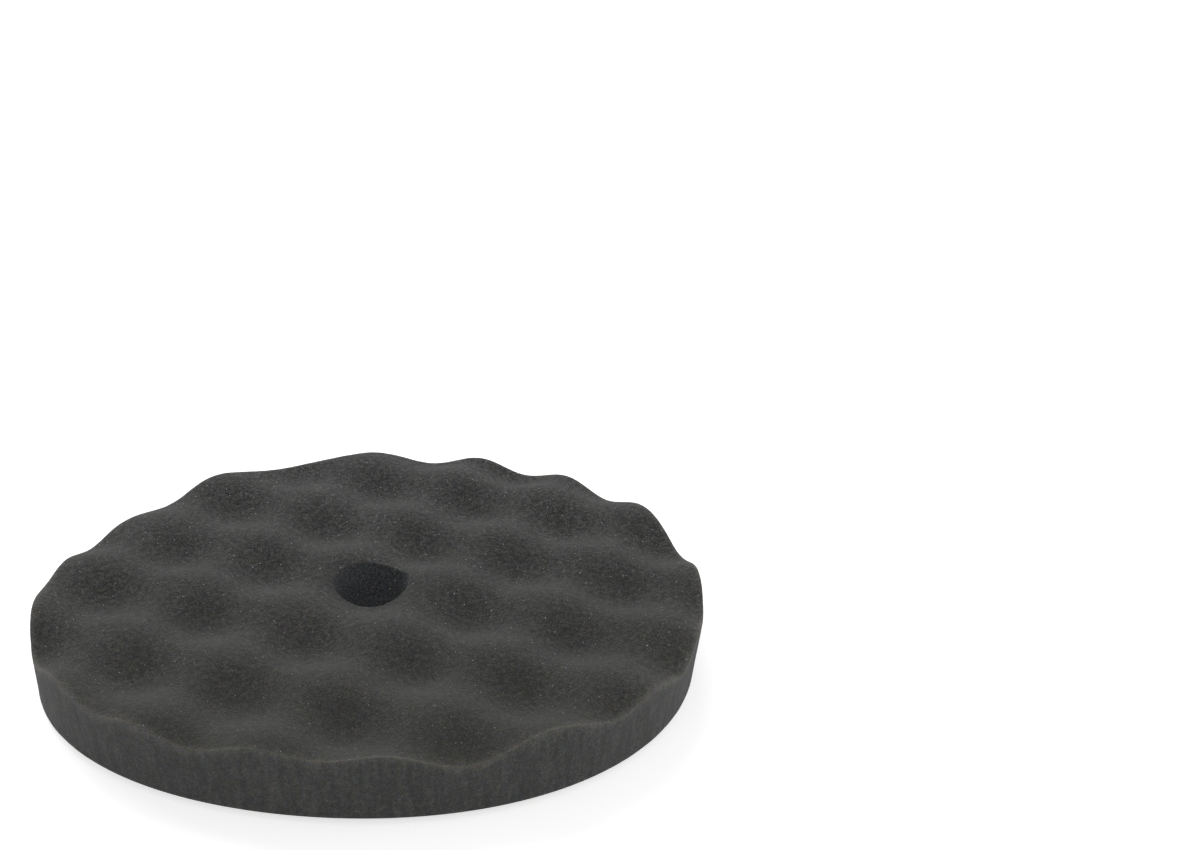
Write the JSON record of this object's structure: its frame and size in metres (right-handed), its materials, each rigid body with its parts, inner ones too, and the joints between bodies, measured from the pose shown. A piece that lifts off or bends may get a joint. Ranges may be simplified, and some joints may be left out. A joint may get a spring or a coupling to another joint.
{
  "type": "polishing pad",
  "caption": "Round foam polishing pad with a smooth waffle working face, a centre hole and a smaller hook-and-loop backing disc bonded to its flat back.",
  "frame": {"origin": "on the pad's axis, in the underside of the loop backing that it rests on", "axes": "+Z along the pad's axis, from the loop backing towards the waffle face; +X and +Y in the plane of the backing"},
  "size_m": [0.2072, 0.2072, 0.0243],
  "materials": {
    "foam": "matte open-cell foam",
    "adhesive": "semi-gloss hot-melt film with fine glints",
    "loop_fabric": "brushed nylon loop"
  },
  "bodies": {
    "root": {"foam_body": "foam", "adhesive_film": "adhesive", "loop_backing": "loop_fabric"}
  },
  "joints": []
}
